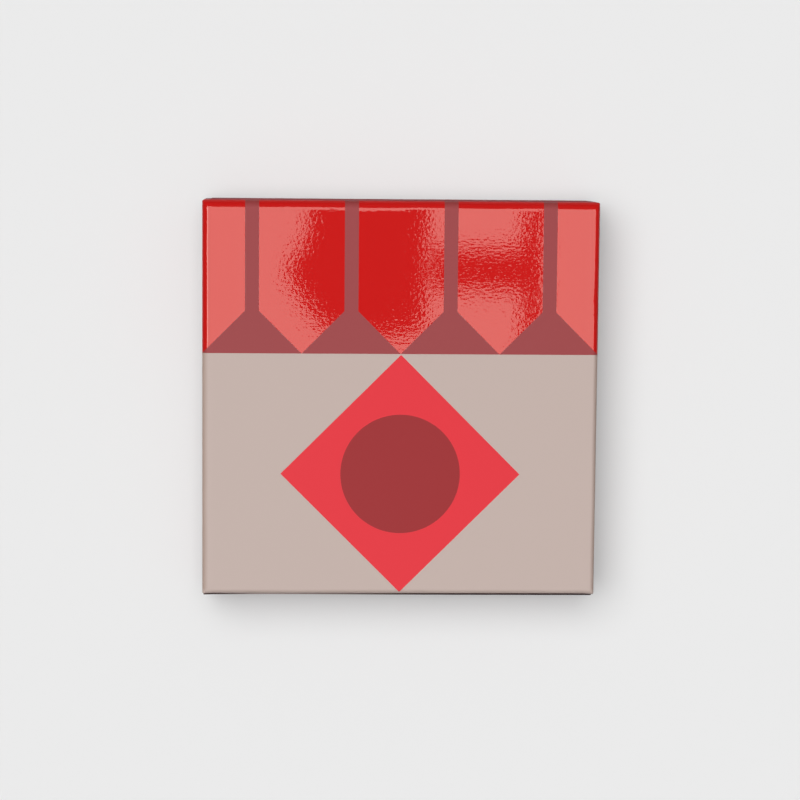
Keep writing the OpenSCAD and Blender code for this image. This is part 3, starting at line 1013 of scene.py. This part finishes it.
def dress_cad_nodes():
    """Materials of the CAD nodes that stay as they are."""
    looks = {
        "base_board": CARD, "base_ribs": CARD, "base_deck": CARD,
        "lid_board": CARD, "lid_ribs": CARD, "lid_deck": CARD, "flap_board": CARD,
        "base_lining": LINING, "base_divider": LINING,
        "lid_lining": LINING, "lid_divider": LINING,
        "base_bottom_sheet": WRAP, "rules_pocket": WRAP, "pawn_insert": FOAM_MATERIAL,
        "catch_plate_left": STEEL_MATERIAL, "catch_plate_right": STEEL_MATERIAL,
        "flap_magnet_left": STEEL_MATERIAL, "flap_magnet_right": STEEL_MATERIAL,
        **{die: die_material(die + "_plastic", die) for die in DIE_TURNS},
    }
    for node, material in looks.items():
        for entry in NODES[node].material_slots:
            entry.material = material
    bevelled("pawn_insert", 0.25 * MM)
    for die in DIE_TURNS:
        bevelled(die, 0.12 * MM)


# ---------------------------------------------------------------- stage, light and camera

BACKGROUND = 0.831               # how the pale floor renders
FLOOR_HALF = 4
FLOOR_GLOW = 0.14                # share of it that glows
FLOOR_LIGHT = 1.008              # light on the open floor
# a wide soft light high above, a little to the back left
LIGHT_WIDTH = math.radians(52)
LIGHT_LEAN = (-0.225, 0.255)
LIGHT_STRENGTH = 2.61
FILL = 0.12                      # even light from all round
FILL_ABOVE = 0.20                # and more of it from overhead
# the light's face as reflections show it, brighter along its left side
SOFTBOX_Z = 2.50
SOFTBOX_GLOW = 3.3
SOFTBOX = [(-0.98, -2.00), (0.65, -2.00), (0.65, 0.36), (-0.98, 0.36)]
SOFTBOX_RIM_GLOW = 7.0
SOFTBOX_RIM = [(-0.96, -2.00), (-0.44, -2.00), (-0.44, 0.36), (-0.96, 0.36)]
# dark things above the case that its glossy film reflects: a block, an arm and a pole
FLAG_Z = 1.50
FLAGS = {
    "flag_block": [(-0.040, 0.085), (-0.050, 0.020), (-0.072, -0.010), (-0.054, -0.042),
                   (-0.036, -0.070), (0.014, -0.090), (0.084, -0.080), (0.090, 0.085)],
    "flag_arm": [(0.093, -0.032), (0.196, -0.032), (0.196, 0.014), (0.093, 0.014)],
    "flag_pole": [(0.194, -0.115), (0.217, -0.115), (0.217, 0.085), (0.194, 0.085)],
}
ROOM_HALF = 2.6                  # a dark room round it all
ROOM_HEIGHT = 2.53
IMAGE = 800                      # width of the picture, and the focal length, in pixels
FOCAL_PX = 2388.4
SENSOR = 36.0                    # in millimetres
CAMERA_PLACE = (-47.6 * MM, 129.1 * MM, 1240 * MM)
CAMERA_TILT = (-6.122, -2.212, 0.494)   # in degrees


def square(half):
    return [(-half, -half), (half, -half), (half, half), (-half, half)]


def sheet_of(name, corners, z, material):
    """A flat sheet of the stage."""
    bm = bmesh.new()
    bm.faces.new([bm.verts.new((x, y, z)) for x, y in corners])
    obj = to_object(bm, name, [material])
    return obj


def glossy_only(obj):
    """The object shows in reflections and nowhere else."""
    obj.visible_camera = False
    obj.visible_diffuse = False
    obj.visible_transmission = False
    obj.visible_volume_scatter = False
    obj.visible_shadow = False


def seen_ray(nodes, links):
    """1 for camera, glossy and transmission rays."""
    path = nodes.new("ShaderNodeLightPath")
    seen = path.outputs["Is Camera Ray"]
    for name in ("Is Glossy Ray", "Is Transmission Ray"):
        either = nodes.new("ShaderNodeMath")
        either.operation = "MAXIMUM"
        links.new(seen, either.inputs[0])
        links.new(path.outputs[name], either.inputs[1])
        seen = either.outputs[0]
    return seen


def make_floor():
    """A pale floor; part of what is seen of it is its own glow, which thins the shadow."""
    g = Graph("pale_floor")
    seen = seen_ray(g.nodes, g.material.node_tree.links)
    lit = BACKGROUND * (1 - FLOOR_GLOW)
    g.set("Base Color", g.mix(seen, (BACKGROUND,) * 3, (lit / FLOOR_LIGHT,) * 3))
    g.set("Emission Color", WHITE)
    g.set("Emission Strength", g.math("MULTIPLY", seen, BACKGROUND * FLOOR_GLOW))
    g.set("Roughness", 1.0)
    g.set("Specular IOR Level", 0.0)
    sheet_of("floor", square(FLOOR_HALF), 0.0, g.material)


def make_reflections():
    """The softbox's face, black shapes and a dark room, which only reflections show."""
    g = Graph("black_cloth")
    g.set("Base Color", (0.004, 0.004, 0.004))
    g.set("Roughness", 1.0)
    g.set("Specular IOR Level", 0.0)
    for name, corners in FLAGS.items():
        glossy_only(sheet_of(name, corners, FLAG_Z, g.material))
    lit = [("softbox_face", SOFTBOX, SOFTBOX_Z, SOFTBOX_GLOW),
           ("softbox_rim", SOFTBOX_RIM, SOFTBOX_Z - 0.01, SOFTBOX_RIM_GLOW)]
    for name, corners, z, strength in lit:
        glow = Graph(name)
        glow.set("Base Color", (0.0, 0.0, 0.0))
        glow.set("Emission Color", WHITE)
        glow.set("Emission Strength", strength)
        glossy_only(sheet_of(name, corners, z, glow.material))
    glossy_only(sheet_of("dark_ceiling", square(ROOM_HALF), ROOM_HEIGHT, g.material))
    walls = Outline((-ROOM_HALF, -ROOM_HALF), (ROOM_HALF, ROOM_HALF), 0.5, spacing=1.0)
    bm = bmesh.new()
    skin_rings(bm, [[(*walls.place(s, 0), z) for s in walls.stations]
                    for z in (-0.02, ROOM_HEIGHT)])
    room = to_object(bm, "dark_walls", [g.material])
    glossy_only(room)


def make_light():
    data = bpy.data.lights.new("softbox", "SUN")
    data.angle = LIGHT_WIDTH
    data.energy = LIGHT_STRENGTH
    lamp = bpy.data.objects.new("softbox", data)
    lamp.rotation_euler = Vector((*LIGHT_LEAN, 1)).to_track_quat("Z", "Y").to_euler()
    lamp.visible_glossy = False
    bpy.context.scene.collection.objects.link(lamp)


def make_world():
    """Grey fill light, stronger overhead; to the camera and in reflections plain and pale."""
    world = bpy.data.worlds.new("studio")
    bpy.context.scene.world = world
    world.use_nodes = True
    tree = world.node_tree
    place = tree.nodes.new("ShaderNodeTexCoord")
    parts = tree.nodes.new("ShaderNodeSeparateXYZ")
    tree.links.new(place.outputs["Generated"], parts.inputs[0])

    def calculate(operation, a, b, c=0.0):
        node = tree.nodes.new("ShaderNodeMath")
        node.operation = operation
        for value, socket in zip((a, b, c), node.inputs):
            if isinstance(value, bpy.types.NodeSocket):
                tree.links.new(value, socket)
            else:
                socket.default_value = value
        return node.outputs[0]

    height = calculate("MAXIMUM", parts.outputs[2], 0.0)
    light = calculate("MULTIPLY_ADD", calculate("POWER", height, 2.0), FILL_ABOVE, FILL)
    mix = tree.nodes.new("ShaderNodeMix")
    mix.data_type = "FLOAT"
    tree.links.new(seen_ray(tree.nodes, tree.links), mix.inputs["Factor"])
    tree.links.new(light, mix.inputs[2])
    mix.inputs[3].default_value = BACKGROUND
    tree.nodes["Background"].inputs["Color"].default_value = (1, 1, 1, 1)
    tree.links.new(mix.outputs[0], tree.nodes["Background"].inputs["Strength"])


def make_camera():
    data = bpy.data.cameras.new("camera")
    data.sensor_width = SENSOR
    data.lens = FOCAL_PX / IMAGE * SENSOR
    data.clip_end = 50
    camera = bpy.data.objects.new("camera", data)
    camera.location = CAMERA_PLACE
    camera.rotation_euler = [math.radians(a) for a in CAMERA_TILT]
    bpy.context.scene.collection.objects.link(camera)
    bpy.context.scene.camera = camera


make_camera()
make_floor()
make_reflections()
make_light()
make_world()
make_wraps()
make_spine_strip()
make_flap()
make_half_board("base_half_board", "base_print", "base", lid=False)
make_half_board("lid_half_board", "lid_print", "lid", lid=True)
make_pawns()
make_rules()
dress_cad_nodes()
bpy.context.scene.view_settings.view_transform = "Standard"

bpy.context.view_layer.update()
